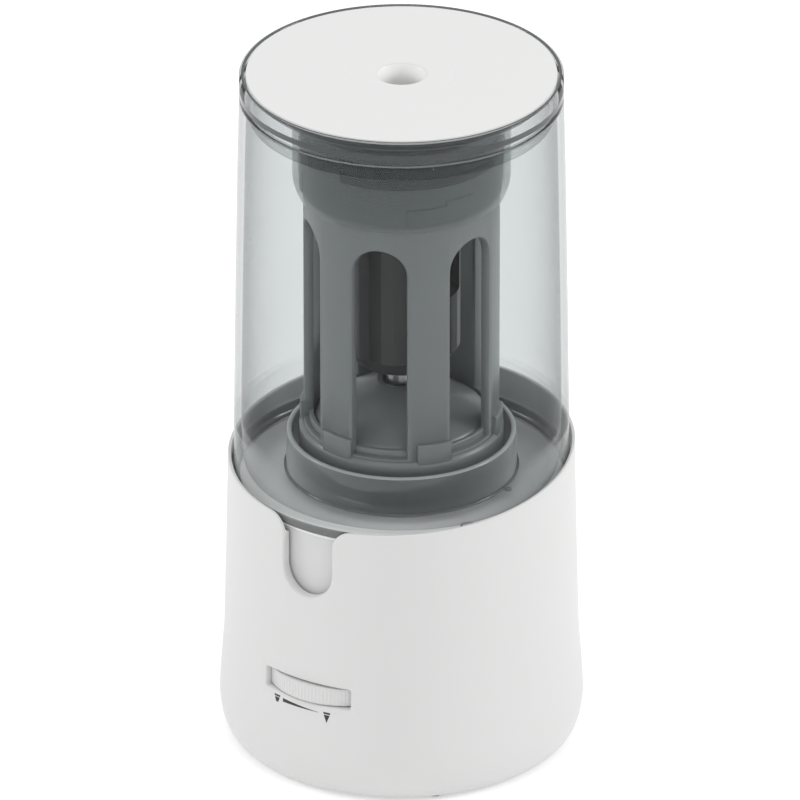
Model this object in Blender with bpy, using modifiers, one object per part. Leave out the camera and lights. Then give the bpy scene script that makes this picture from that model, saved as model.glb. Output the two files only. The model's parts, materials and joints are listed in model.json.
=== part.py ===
"""Battery pencil sharpener: a smoky bin with a lid over a cutter cage, on a white base.

Origin at the middle of the underside, +Z up, the thumb notch and the thumbwheel face -Y.
Lengths are in metres.
"""
import math

import bmesh
import bpy
from mathutils import Matrix, Vector

MM = 0.001
GAP = 0.3 * MM                     # least clearance between two pieces

# base
HEIGHT = 155.0 * MM
FOOT_DROP = 0.5 * MM               # how far the rubber feet stand below the shell
SHELL_FOOT_RADIUS = 35.7 * MM
SHELL_RADIUS = 39.2 * MM           # widest, just above the rounded foot
SHELL_WIDEST_Z = 9.0 * MM
SHELL_TOP_RADIUS = 37.2 * MM
SHELL_BORE = 35.2 * MM
SHELL_LIP_BORE = 36.4 * MM
EDGE_Z = 67.0 * MM                 # the slanted top edge, at the axis
EDGE_FALL = 3.4 * MM               # how much lower it is at the front
DRUM_RADIUS = 34.8 * MM
DRUM_WALL = 1.6 * MM
DRUM_BOTTOM = 3.4 * MM
DECK_Z = 60.6 * MM                 # top of the drum's deck
DECK_THICKNESS = 1.4 * MM
SHELF_Z = 19.0 * MM                # top of the chassis plate
SHELF_THICKNESS = 1.6 * MM
FOOT_RADIUS = 1.5 * MM             # rubber feet
FOOT_RECESS = 0.9 * MM
FOOT_CIRCLE = 33.9 * MM
FOOT_ANGLES = (45.0, 135.0, 225.0, 315.0)

# notch and thumbwheel
NOTCH_WIDTH = 12.2 * MM
NOTCH_BOTTOM = 46.6 * MM
NOTCH_SHOULDER = 4.6 * MM
WHEEL_Y = -21.4 * MM
WHEEL_RADIUS = 17.3 * MM
WHEEL_BOTTOM = 22.3 * MM
WHEEL_TOP = 26.1 * MM
SLOT_BOTTOM = 21.9 * MM
SLOT_TOP = 26.5 * MM
SLOT_WIDTH = 20.9 * MM
WHEEL_RIBS = 48
RIB_DEPTH = 0.35 * MM
WHEEL_TRAVEL = math.radians(40.0)
STOP_TRAVEL = 0.8 * MM             # stop height change for that turn
RAMP_RISE = 1.3 * MM               # the ramp above the wheel, at mid travel
RAMP_INNER = 9.0 * MM
RAMP_OUTER = 14.0 * MM
RAMP_HALF_ANGLE = math.radians(60.0)
CARRIAGE_THICKNESS = 1.6 * MM
PIN_RADIUS = 1.5 * MM              # wheel axle and guide post
GUIDE_AT = (0.0, 7.0 * MM)

# bin and lid
BIN_FLOOR_Z = 61.0 * MM            # underside of the bin
BIN_FLOOR_THICKNESS = 1.4 * MM
BIN_WALL = 1.6 * MM
BIN_TOP_Z = 148.8 * MM
COLLAR_RADIUS = 24.6 * MM
COLLAR_WALL = 1.2 * MM
COLLAR_TOP = 71.2 * MM
DISC_RADIUS = 33.0 * MM
DISC_THICKNESS = 1.0 * MM
LID_DECK_BOTTOM = 152.0 * MM
PENCIL_BORE = 4.2 * MM
FUNNEL_RADIUS = 5.35 * MM
SLEEVE_RADIUS = 23.2 * MM
SLEEVE_BOTTOM = 127.6 * MM

# cage
CAGE_RADIUS = 20.9 * MM
CAGE_WALL = 2.2 * MM
CAGE_FOOT_RADIUS = 21.9 * MM
CAGE_FOOT_TOP = 73.0 * MM
HEAD_RADIUS = 21.5 * MM
HEAD_BOTTOM = 129.0 * MM
WINDOW_COUNT = 6
WINDOW_WIDTH = 12.2 * MM
WINDOW_SILL = 75.0 * MM
WINDOW_TOP = 122.6 * MM
WINDOW_TURN = math.radians(19.5)   # first window, from the front towards +X
SCREW_CIRCLE = 20.4 * MM
SCREW_ANGLES = (-40.0, -140.0, 90.0)

# cutter
CONE_ANGLE = math.radians(11.25)   # half angle of the sharpened point, and tilt of the cutter
APEX_Z = 109.0 * MM
ROLLER_RADIUS = 4.6 * MM
ROLLER_LENGTH = 21.5 * MM
ROLLER_FLUTES = 12
ROLLER_TWIST = math.radians(55.0)
ROLLER_BORE = 1.5 * MM
RING_TEETH = 36
PINION_TEETH = 12
CUTTER_MODULE = 15.0 * MM * 2 / RING_TEETH
PINION_Z = 135.0 * MM
TUBE_RADIUS = 3.4 * MM
TUBE_BORE = 1.9 * MM
ROD_RADIUS = 1.2 * MM

# drive train
MOTOR_Y = -17.3 * MM
MOTOR_RADIUS = 10.0 * MM
MOTOR_BOTTOM = 30.4 * MM
MOTOR_TOP = 51.0 * MM
COMPOUND_AT = Vector((5.55 * MM, -9.61 * MM, 0.0))
COMPOUND_BORE = 1.3 * MM
FINE_MODULE = 0.5 * MM
COARSE_MODULE = 0.6 * MM
MOTOR_TEETH = 10
COMPOUND_BIG_TEETH = 28
COMPOUND_SMALL_TEETH = 10
CARRIER_TEETH = 27

# power
CELL_RADIUS = 7.25 * MM
CELL_LENGTH = 49.5 * MM
CELL_BOTTOM = 5.6 * MM
CELL_CIRCLE = 25.0 * MM
CELL_ANGLES = (5.0, 58.0, 122.0, 175.0)
CONTACT_HALF_WIDTH = 3.0 * MM
CONTACT_THICKNESS = 0.5 * MM
INTERLOCK_CIRCLE = 29.0 * MM
INTERLOCK_ANGLE = -28.0

for old in list(bpy.data.objects):
    bpy.data.objects.remove(old, do_unlink=True)

parts = bpy.data.collections.new("pencil_sharpener")
cutters = bpy.data.collections.new("cutters")
bpy.context.scene.collection.children.link(parts)
bpy.context.scene.collection.children.link(cutters)


def material(name, color, roughness, metallic=0.0, alpha=1.0):
    """One Principled material."""
    made = bpy.data.materials.new(name)
    made.use_nodes = True
    shader = made.node_tree.nodes["Principled BSDF"]
    shader.inputs["Base Color"].default_value = (*color, 1.0)
    shader.inputs["Roughness"].default_value = roughness
    shader.inputs["Metallic"].default_value = metallic
    shader.inputs["Alpha"].default_value = alpha
    made.diffuse_color = (*color, alpha)
    return made


FINISHES = {
    "white": ((0.76, 0.76, 0.75), 0.42, 0.0, 1.0),
    "smoke": ((0.30, 0.34, 0.34), 0.05, 0.0, 0.35),
    "gray": ((0.20, 0.22, 0.22), 0.45, 0.0, 1.0),
    "dark": ((0.05, 0.05, 0.05), 0.50, 0.0, 1.0),
    "steel": ((0.55, 0.55, 0.56), 0.30, 1.0, 1.0),
    "brass": ((0.70, 0.52, 0.25), 0.35, 1.0, 1.0),
    "nylon": ((0.72, 0.70, 0.62), 0.50, 0.0, 1.0),
    "rubber": ((0.03, 0.03, 0.03), 0.80, 0.0, 1.0),
    "cell": ((0.10, 0.11, 0.13), 0.30, 0.3, 1.0),
}


def add(name, mesh, finish):
    """Link a mesh as a sub-part with its own material."""
    piece = bpy.data.objects.new(name, mesh)
    parts.objects.link(piece)
    mesh.materials.clear()
    mesh.materials.append(material(name, *FINISHES[finish]))
    return piece


def add_cutter(name, mesh):
    """Link a mesh as a Boolean cutter, which isn't part of the object."""
    tool = bpy.data.objects.new(name, mesh)
    cutters.objects.link(tool)
    tool.hide_render = True
    tool.display_type = "WIRE"
    return tool


def boolean(piece, tool, operation="DIFFERENCE"):
    """Cut a piece with a tool, or join the tool to it."""
    modifier = piece.modifiers.new(tool.name, "BOOLEAN")
    modifier.object = tool
    modifier.operation = operation
    modifier.solver = "EXACT"


def finish_mesh(build, name):
    """Turn a bmesh into mesh data with smooth round faces."""
    mesh = bpy.data.meshes.new(name)
    build.to_mesh(mesh)
    build.free()
    mesh.shade_smooth()
    mesh.set_sharp_from_angle(angle=math.radians(35.0))
    return mesh


def add_turned(name, profile, finish, steps=40, at=(0.0, 0.0)):
    """A (radius, height) profile in millimetres, turned about Z at (x, y).

    It runs down the outer side. One that starts and ends on the axis stays open.
    """
    mesh = bpy.data.meshes.new(name)
    points = [(radius * MM, 0.0, height * MM) for radius, height in profile]
    edges = [(i, i + 1) for i in range(len(points) - 1)]
    if profile[0][0] > 0.0:
        edges.append((len(points) - 1, 0))
    mesh.from_pydata(points, edges, [])
    piece = add(name, mesh, finish)
    piece.location = (at[0], at[1], 0.0)
    turn = piece.modifiers.new("turn", "SCREW")
    turn.steps = steps
    turn.render_steps = steps
    turn.use_smooth_shade = True
    turn.use_merge_vertices = True
    turn.merge_threshold = 0.00001
    return piece


def cylinder_mesh(name, radius, low, high, at=(0.0, 0.0), sides=24):
    """A cylinder from low to high, standing at (x, y)."""
    build = bmesh.new()
    bmesh.ops.create_cone(build, cap_ends=True, segments=sides, radius1=radius, radius2=radius,
                          depth=high - low)
    bmesh.ops.translate(build, verts=build.verts, vec=(at[0], at[1], (low + high) / 2))
    return finish_mesh(build, name)


def box_mesh(name, low, high):
    """A box between two corners."""
    build = bmesh.new()
    bmesh.ops.create_cube(build, size=1.0)
    size = Vector(high) - Vector(low)
    middle = (Vector(high) + Vector(low)) / 2
    bmesh.ops.scale(build, verts=build.verts, vec=size)
    bmesh.ops.translate(build, verts=build.verts, vec=middle)
    return finish_mesh(build, name)


def flat_mesh(name, outlines, low, high):
    """A flat piece between two heights, from closed (x, y) outlines; inner ones are holes."""
    curve = bpy.data.curves.new(name, "CURVE")
    curve.dimensions = "2D"
    curve.fill_mode = "BOTH"
    curve.extrude = (high - low) / 2
    for outline in outlines:
        spline = curve.splines.new("POLY")
        spline.points.add(len(outline) - 1)
        for point, (x, y) in zip(spline.points, outline):
            point.co = (x, y, 0.0, 1.0)
        spline.use_cyclic_u = True
    holder = bpy.data.objects.new(name + "_outline", curve)
    cutters.objects.link(holder)
    bpy.context.view_layer.update()
    evaluated = holder.evaluated_get(bpy.context.evaluated_depsgraph_get())
    mesh = bpy.data.meshes.new_from_object(evaluated)
    build = bmesh.new()
    build.from_mesh(mesh)
    bmesh.ops.remove_doubles(build, verts=build.verts, dist=0.000001)
    bmesh.ops.recalc_face_normals(build, faces=build.faces)
    bmesh.ops.translate(build, verts=build.verts, vec=(0.0, 0.0, (low + high) / 2))
    bpy.data.objects.remove(holder, do_unlink=True)
    return finish_mesh(build, name)


def circle(radius, at=(0.0, 0.0), sides=32):
    """Points of a circle, as an outline."""
    return [(at[0] + radius * math.cos(2 * math.pi * i / sides),
             at[1] + radius * math.sin(2 * math.pi * i / sides)) for i in range(sides)]


def arc(radius, at, start, end, count):
    """Points along an arc, angles in degrees."""
    points = []
    for i in range(count + 1):
        angle = math.radians(start + (end - start) * i / count)
        points.append((at[0] + radius * math.cos(angle), at[1] + radius * math.sin(angle)))
    return points


def gear_outline(teeth, module, phase=0.0, internal=False):
    """A gear's outline with straight-flanked teeth; phase turns it, in teeth."""
    pitch_radius = teeth * module / 2
    sign = -1 if internal else 1
    tip = pitch_radius + sign * 0.75 * module
    root = pitch_radius - sign * 1.10 * module
    corners = ((root, -0.25), (tip, -0.11), (tip, 0.11), (root, 0.25))
    points = []
    for i in range(teeth):
        for radius, share in corners:
            angle = 2 * math.pi * (i + share + phase) / teeth
            points.append((radius * math.cos(angle), radius * math.sin(angle)))
    return points


def polar(radius, degrees):
    """An (x, y) point at a radius and an angle from +X."""
    return (radius * math.cos(math.radians(degrees)), radius * math.sin(math.radians(degrees)))


def upright(mesh, turn=0.0):
    """Stand a mesh drawn in XY up into XZ, facing -Y, then turn it about Z."""
    mesh.transform(Matrix.Rotation(turn, 4, "Z") @ Matrix.Rotation(math.radians(90.0), 4, "X"))
    return mesh


def make_shell():
    """The white outer housing, with its slanted edge, thumb notch and wheel slot."""
    foot = SHELL_FOOT_RADIUS / MM
    widest = SHELL_RADIUS / MM
    base = FOOT_DROP / MM
    lip_bore = SHELL_LIP_BORE / MM
    bore = SHELL_BORE / MM
    side = [(SHELL_TOP_RADIUS / MM, 72.0), (37.25, 62.0), (37.7, 42.0), (38.2, 24.0)]
    rounded = []
    for i in range(6, -1, -1):
        angle = math.radians(15.0 * i)
        rise = (SHELL_WIDEST_Z / MM - base) * math.cos(angle)
        rounded.append((foot + (widest - foot) * math.sin(angle), SHELL_WIDEST_Z / MM - rise))
    inside = [(32.3, base), (32.3, 3.0), (bore, 3.0), (bore, 59.5), (lip_bore, 60.3),
              (lip_bore, 72.0)]
    shell = add_turned("outer_shell", side + rounded + inside, "white", 48)

    top = box_mesh("edge_cutter", (-0.05, -0.05, 0.0), (0.05, 0.05, 0.03))
    tilt = math.atan2(EDGE_FALL, SHELL_TOP_RADIUS)
    top.transform(Matrix.Translation((0.0, 0.0, EDGE_Z)) @ Matrix.Rotation(tilt, 4, "X"))
    boolean(shell, add_cutter("edge_cutter", top))

    half = NOTCH_WIDTH / 2
    shoulder_z = EDGE_Z - EDGE_FALL - 0.2 * MM
    right = arc(half, (0.0, NOTCH_BOTTOM + half), -90.0, 0.0, 6)
    right += arc(NOTCH_SHOULDER, (half + NOTCH_SHOULDER, shoulder_z - NOTCH_SHOULDER),
                 180.0, 95.0, 5)
    right.append((half + NOTCH_SHOULDER, shoulder_z + 9.0 * MM))
    outline = right + [(-x, y) for x, y in reversed(right[1:])]
    notch = upright(flat_mesh("notch_cutter", [outline], 0.0, 0.01))
    notch.transform(Matrix.Translation((0.0, -0.032, 0.0)))
    boolean(shell, add_cutter("notch_cutter", notch))

    slot = box_mesh("slot_cutter", (-SLOT_WIDTH / 2, -0.045, SLOT_BOTTOM),
                    (SLOT_WIDTH / 2, -0.030, SLOT_TOP))
    boolean(shell, add_cutter("slot_cutter", slot))
    room = cylinder_mesh("wheel_room", WHEEL_RADIUS + 0.5 * MM, SLOT_BOTTOM + 0.01 * MM,
                         SLOT_TOP - 0.01 * MM, (0.0, WHEEL_Y), 48)
    boolean(shell, add_cutter("wheel_room", room))
    for number, degrees in enumerate(FOOT_ANGLES, 1):
        at = polar(FOOT_CIRCLE, degrees)
        recess_top = FOOT_DROP + FOOT_RECESS
        foot_mesh = cylinder_mesh("foot_%d" % number, FOOT_RADIUS, 0.0, recess_top - GAP, at, 16)
        add("foot_%d" % number, foot_mesh, "rubber")
        pocket = cylinder_mesh("foot_pocket_%d" % number, FOOT_RADIUS + GAP, -1.0 * MM, recess_top,
                               at, 16)
        boolean(shell, add_cutter("foot_pocket_%d" % number, pocket))


def make_drum():
    """The white inner drum, which carries the drive and closes the base under the bin."""
    outer = DRUM_RADIUS / MM
    inner = (DRUM_RADIUS - DRUM_WALL) / MM
    deck = DECK_Z / MM
    under = (DECK_Z - DECK_THICKNESS) / MM
    bottom = DRUM_BOTTOM / MM
    profile = [(outer - 0.5, deck), (outer, deck - 0.5), (outer, bottom), (inner, bottom),
               (inner, under), (7.1, under), (7.1, deck)]
    drum = add_turned("inner_drum", profile, "white")
    slot = cylinder_mesh("drum_slot_cutter", WHEEL_RADIUS + 0.6 * MM, SLOT_BOTTOM - 0.6 * MM,
                         SLOT_TOP + 0.6 * MM, (0.0, WHEEL_Y), 48)
    boolean(drum, add_cutter("drum_slot_cutter", slot))
    for number, degrees in enumerate(SCREW_ANGLES, 1):
        at = polar(SCREW_CIRCLE, degrees)
        hole = cylinder_mesh("deck_hole_%d" % number, 1.5 * MM, 0.055, 0.065, at, 16)
        boolean(drum, add_cutter("deck_hole_%d" % number, hole))
    at = polar(INTERLOCK_CIRCLE, INTERLOCK_ANGLE)
    pin_hole = cylinder_mesh("pin_hole", 1.6 * MM, 0.055, 0.065, at, 16)
    boolean(drum, add_cutter("pin_hole", pin_hole))

    bush = [(6.8, 61.6), (6.8, 58.8), (3.8, 58.8), (3.8, 61.6)]
    add_turned("deck_bush", bush, "brass", 20)


def make_chassis():
    """The plate inside the drum that holds the wheel axle, the guide post and the switch."""
    holes = [circle(CELL_RADIUS + 0.5 * MM, polar(CELL_CIRCLE, a), 16) for a in CELL_ANGLES]
    rod_hole = circle(ROD_RADIUS + 0.6 * MM, (0.0, 0.0), 16)
    plate = flat_mesh("chassis_plate", [circle(32.8 * MM, sides=32), rod_hole],
                      SHELF_Z - SHELF_THICKNESS, SHELF_Z)
    chassis = add("chassis_plate", plate, "white")
    for number, hole in enumerate(holes, 1):
        tool = flat_mesh("cell_hole_%d" % number, [hole], 0.014, 0.022)
        boolean(chassis, add_cutter("cell_hole_%d" % number, tool))
    axle = cylinder_mesh("wheel_axle", PIN_RADIUS, SHELF_Z + GAP, 28.2 * MM, (0.0, WHEEL_Y))
    add("wheel_axle", axle, "steel")
    post = cylinder_mesh("guide_post", PIN_RADIUS, SHELF_Z + GAP, 50.6 * MM, GUIDE_AT)
    add("guide_post", post, "steel")


def make_wheel():
    """The ribbed thumbwheel, with the ramp on its face that sets the stop's height."""
    outline = []
    for i in range(WHEEL_RIBS):
        for radius, share in ((WHEEL_RADIUS, 0.15), (WHEEL_RADIUS - RIB_DEPTH, 0.65)):
            angle = 2 * math.pi * (i + share) / WHEEL_RIBS
            outline.append((radius * math.cos(angle), radius * math.sin(angle)))
    bore = circle(PIN_RADIUS + GAP, sides=20)
    disc = flat_mesh("thumb_wheel", [outline, bore], WHEEL_BOTTOM, WHEEL_TOP)
    wheel = add("thumb_wheel", disc, "white")

    ramp = bmesh.new()
    pitch = STOP_TRAVEL / WHEEL_TRAVEL
    steps = 16
    low = WHEEL_TOP - 0.5 * MM
    sections = []
    for i in range(steps + 1):
        turn = RAMP_HALF_ANGLE * (2 * i / steps - 1)
        angle = math.radians(90.0) + turn
        top = WHEEL_TOP + RAMP_RISE - pitch * turn
        ring = []
        for radius, height in ((RAMP_INNER, low), (RAMP_OUTER, low), (RAMP_OUTER, top),
                               (RAMP_INNER, top)):
            ring.append(ramp.verts.new((radius * math.cos(angle), radius * math.sin(angle), height)))
        sections.append(ring)
    for first, second in zip(sections, sections[1:]):
        for i in range(4):
            j = (i + 1) % 4
            ramp.faces.new((first[i], first[j], second[j], second[i]))
    ramp.faces.new(sections[0])
    ramp.faces.new(sections[-1])
    bmesh.ops.recalc_face_normals(ramp, faces=ramp.faces)
    boolean(wheel, add_cutter("wheel_ramp", finish_mesh(ramp, "wheel_ramp")), "UNION")
    wheel.location = (0.0, WHEEL_Y, 0.0)
    bpy.data.objects["wheel_ramp"].parent = wheel


def make_stop():
    """The carriage that rides on the ramp, the start switch on it and the sprung stop rod."""
    foot_z = WHEEL_TOP + RAMP_RISE + 0.45 * MM
    plate_top = foot_z + CARRIAGE_THICKNESS
    foot_y = WHEEL_Y + (RAMP_INNER + RAMP_OUTER) / 2
    carriage_mesh = box_mesh("stop_carriage", (-2.6 * MM, foot_y - 1.5 * MM, foot_z),
                             (2.6 * MM, 9.6 * MM, plate_top))
    carriage = add("stop_carriage", carriage_mesh, "nylon")
    rod_hole = cylinder_mesh("carriage_rod_hole", ROD_RADIUS + GAP, 0.02, 0.04, (0.0, 0.0))
    boolean(carriage, add_cutter("carriage_rod_hole", rod_hole))
    post_hole = cylinder_mesh("carriage_post_hole", PIN_RADIUS + GAP, 0.02, 0.04, GUIDE_AT)
    boolean(carriage, add_cutter("carriage_post_hole", post_hole))

    rod = ROD_RADIUS / MM
    collar = plate_top / MM + 5.9
    rod_profile = [(0.0, 107.8), (rod, 107.4), (rod, collar + 1.1), (2.3, collar + 1.1),
                   (2.3, collar), (rod, collar), (rod, 24.0), (0.0, 24.0)]
    add_turned("stop_rod", rod_profile, "steel", 16)

    spring = bpy.data.curves.new("rod_spring", "CURVE")
    spring.dimensions = "3D"
    spring.bevel_depth = 0.2 * MM
    spring.bevel_resolution = 1
    spring.use_fill_caps = True
    coil_radius = 2.0 * MM
    per_turn = 8
    count = 4 * per_turn + 1
    path = spring.splines.new("POLY")
    path.points.add(count - 1)
    low = plate_top + 1.3 * MM
    high = plate_top + 5.3 * MM
    for i, point in enumerate(path.points):
        angle = 2 * math.pi * i / per_turn
        height = low + (high - low) * i / (count - 1)
        point.co = (coil_radius * math.cos(angle), coil_radius * math.sin(angle), height, 1.0)
    coil = bpy.data.objects.new("rod_spring", spring)
    parts.objects.link(coil)
    spring.materials.append(material("rod_spring", *FINISHES["steel"]))

    switch = box_mesh("start_switch", (-2.4 * MM, -6.4 * MM, plate_top + GAP),
                      (2.4 * MM, -2.8 * MM, plate_top + 1.3 * MM))
    add("start_switch", switch, "dark")


def make_bin():
    """The smoky shavings bin: wall, floor and the collar round the cage's foot."""
    low = BIN_FLOOR_Z / MM
    floor = low + BIN_FLOOR_THICKNESS / MM
    top = BIN_TOP_Z / MM
    outside = [(34.4, top), (34.8, 135.0), (35.4, 105.0), (35.8, 80.0), (36.0, low + 0.5),
               (35.5, low)]
    outer = COLLAR_RADIUS / MM
    inner = (COLLAR_RADIUS - COLLAR_WALL) / MM
    rim = COLLAR_TOP / MM
    collar = [(inner, low), (inner, rim), (outer, rim), (outer, floor)]
    inside = [(31.6, floor), (33.0, floor + 0.8), (33.9, floor + 2.6), (34.2, floor + 5.2)]
    inside += [(radius - BIN_WALL / MM, height) for radius, height in reversed(outside[:4])]
    add_turned("shavings_bin", outside + collar + inside, "smoke")


def make_lid():
    """The clear lid with its white disc: it plugs into the bin and sleeves the cage's head."""
    top = HEIGHT / MM
    seat = top - DISC_THICKNESS / MM
    under = LID_DECK_BOTTOM / MM
    sleeve = SLEEVE_RADIUS / MM
    sleeve_low = SLEEVE_BOTTOM / MM
    ledge = seat - GAP / MM
    recess = (DISC_RADIUS + GAP) / MM
    profile = [(34.1, top), (34.4, top - 0.4), (34.4, 149.1), (32.4, 149.1), (32.4, 145.0),
               (31.2, 145.0), (31.2, under), (sleeve, under), (sleeve, 130.0), (22.8, 128.4),
               (22.3, sleeve_low), (21.9, sleeve_low + 0.5), (21.9, under), (7.0, under),
               (7.0, ledge), (recess, ledge), (recess, top)]
    add_turned("lid_rim", profile, "smoke")
    bore = PENCIL_BORE / MM
    funnel = FUNNEL_RADIUS / MM
    disc = [(DISC_RADIUS / MM - 0.5, top), (DISC_RADIUS / MM, top - 0.5), (DISC_RADIUS / MM, seat),
            (6.6, seat), (6.6, 147.2), (bore, 147.2), (bore, 152.6), (funnel, top)]
    add_turned("top_disc", disc, "white")


def make_cage():
    """The gray cage: foot, windows and head in one moulding, with the pieces in its head."""
    radius = CAGE_RADIUS / MM
    inner = radius - CAGE_WALL / MM
    foot = CAGE_FOOT_RADIUS / MM
    head = HEAD_RADIUS / MM
    profile = [(head, 143.0), (head, HEAD_BOTTOM / MM), (radius, HEAD_BOTTOM / MM - 1.0),
               (radius, CAGE_FOOT_TOP / MM + 0.8), (foot, CAGE_FOOT_TOP / MM), (foot, 60.9),
               (inner, 60.9), (inner, 143.0)]
    cage = add_turned("cage", profile, "gray", 48)
    half = WINDOW_WIDTH / 2
    outline = arc(half, (0.0, WINDOW_TOP - half), 0.0, 180.0, 10)
    outline += [(-half, WINDOW_SILL), (half, WINDOW_SILL)]
    for number in range(WINDOW_COUNT // 2):
        turn = WINDOW_TURN + 2 * math.pi * number / WINDOW_COUNT
        window = flat_mesh("window_cutter_%d" % number, [outline], -0.03, 0.03)
        boolean(cage, add_cutter("window_cutter_%d" % number, upright(window, turn)))
    for number, degrees in enumerate(SCREW_ANGLES, 1):
        at = polar(SCREW_CIRCLE, degrees)
        hole = cylinder_mesh("cage_hole_%d" % number, 1.1 * MM, 0.058, 0.067, at, 12)
        boolean(cage, add_cutter("cage_hole_%d" % number, hole))
        screw = [(0.0, 66.0), (0.8, 66.0), (0.8, 58.9), (1.9, 58.9), (1.9, 57.6), (0.0, 57.6)]
        add_turned("cage_screw_%d" % number, screw, "steel", 12, at)

    cap = [(head, 146.0), (head, 143.3), (inner - 0.3, 143.3), (inner - 0.3, 141.6), (9.0, 141.6),
           (9.0, 146.0)]
    add_turned("head_cap", cap, "gray", 32)
    floor = [(5.0, 83.0), (18.4, 74.5), (18.4, 72.5), (4.2, 72.5), (4.2, 83.0)]
    add_turned("cage_floor", floor, "gray", 24)

    ring_inside = gear_outline(RING_TEETH, CUTTER_MODULE, 0.5, True)
    ring = flat_mesh("ring_gear", [circle(18.3 * MM, sides=32), ring_inside], 0.1318, 0.1372)
    add("ring_gear", ring, "steel")
    bush = [(18.3, 131.4), (18.3, 126.4), (14.4, 126.4), (14.4, 131.4)]
    add_turned("head_bush", bush, "nylon", 28)


def make_carrier():
    """The turning cutter carrier, its drive tube and gear."""
    body = [(14.1, 131.0), (14.1, 127.0), (12.6, 125.0), (12.6, 92.0), (10.0, 88.4), (2.0, 88.4),
            (2.0, 107.0), (1.9, 109.6), (4.5, 122.0), (4.5, 131.0)]
    carrier = add_turned("cutter_carrier", body, "dark", 28)
    pocket = cylinder_mesh("cutter_pocket", ROLLER_RADIUS + 2 * GAP, -2.4 * MM, 40.0 * MM, sides=20)
    mouth = box_mesh("pocket_mouth", (0.0, -ROLLER_RADIUS, -1.9 * MM),
                     (14.0 * MM, ROLLER_RADIUS, 15.0 * MM))
    tail = cylinder_mesh("shaft_seat", ROLLER_BORE, -5.5 * MM, -1.0 * MM, sides=16)
    for mesh in (pocket, mouth, tail):
        boolean(carrier, on_cutter_axis(add_cutter(mesh.name, mesh)))

    shaft = cylinder_mesh("cutter_shaft", ROLLER_BORE - GAP, -5.0 * MM, 30.0 * MM, sides=16)
    on_cutter_axis(add("cutter_shaft", shaft, "steel"))
    tube = [(TUBE_RADIUS / MM, 88.0), (TUBE_RADIUS / MM, 58.9), (TUBE_BORE / MM, 58.9),
            (TUBE_BORE / MM, 88.0)]
    add_turned("drive_tube", tube, "steel", 16)
    teeth = gear_outline(CARRIER_TEETH, COARSE_MODULE)
    gear_mesh = flat_mesh("carrier_gear", [teeth, circle(TUBE_BORE, sides=16)], 56.6 * MM, 58.5 * MM)
    gear = add("carrier_gear", gear_mesh, "nylon")
    gear.rotation_euler.z = math.atan2(COMPOUND_AT.y, COMPOUND_AT.x)


def on_cutter_axis(piece):
    """Put a piece on the cutter's tilted axis, with its origin beside the apex."""
    offset = (ROLLER_RADIUS + 0.25 * MM) / math.cos(CONE_ANGLE)
    piece.location = (offset, 0.0, APEX_Z)
    piece.rotation_euler = (0.0, CONE_ANGLE, 0.0)
    return piece


def make_cutter():
    """The helical cutter roller and its pinion, on the tilted shaft."""
    layers = 5
    outline = []
    for i in range(ROLLER_FLUTES):
        for radius, share in ((ROLLER_RADIUS, 0.1), (ROLLER_RADIUS - 0.6 * MM, 0.5)):
            angle = 2 * math.pi * (i + share) / ROLLER_FLUTES
            outline.append((radius * math.cos(angle), radius * math.sin(angle)))
    bore = circle(ROLLER_BORE, sides=16)
    roller = flat_mesh("cutter_roller", [outline, bore], 0.0, ROLLER_LENGTH)
    build = bmesh.new()
    build.from_mesh(roller)
    bmesh.ops.triangulate(build, faces=[face for face in build.faces if len(face.verts) > 4])
    for layer in range(1, layers):
        height = ROLLER_LENGTH * layer / layers
        bmesh.ops.bisect_plane(build, geom=build.verts[:] + build.edges[:] + build.faces[:],
                               plane_co=(0, 0, height), plane_no=(0, 0, 1), dist=0.000001)
    for vertex in build.verts:
        twist = Matrix.Rotation(ROLLER_TWIST * vertex.co.z / ROLLER_LENGTH, 3, "Z")
        vertex.co = twist @ vertex.co
    on_cutter_axis(add("cutter_roller", finish_mesh(build, "cutter_roller"), "steel"))

    along = (PINION_Z - APEX_Z) / math.cos(CONE_ANGLE)
    half = 1.3 * MM
    teeth = gear_outline(PINION_TEETH, CUTTER_MODULE)
    pinion = flat_mesh("cutter_pinion", [teeth, bore], along - half, along + half)
    reach = PINION_TEETH * CUTTER_MODULE / 2
    for vertex in pinion.vertices:
        flat_radius = vertex.co.xy.length
        if flat_radius > reach / 2:
            shrink = 1 - (vertex.co.z - along) * math.tan(CONE_ANGLE) / reach
            vertex.co.x *= shrink
            vertex.co.y *= shrink
    on_cutter_axis(add("cutter_pinion", pinion, "steel"))


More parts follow.
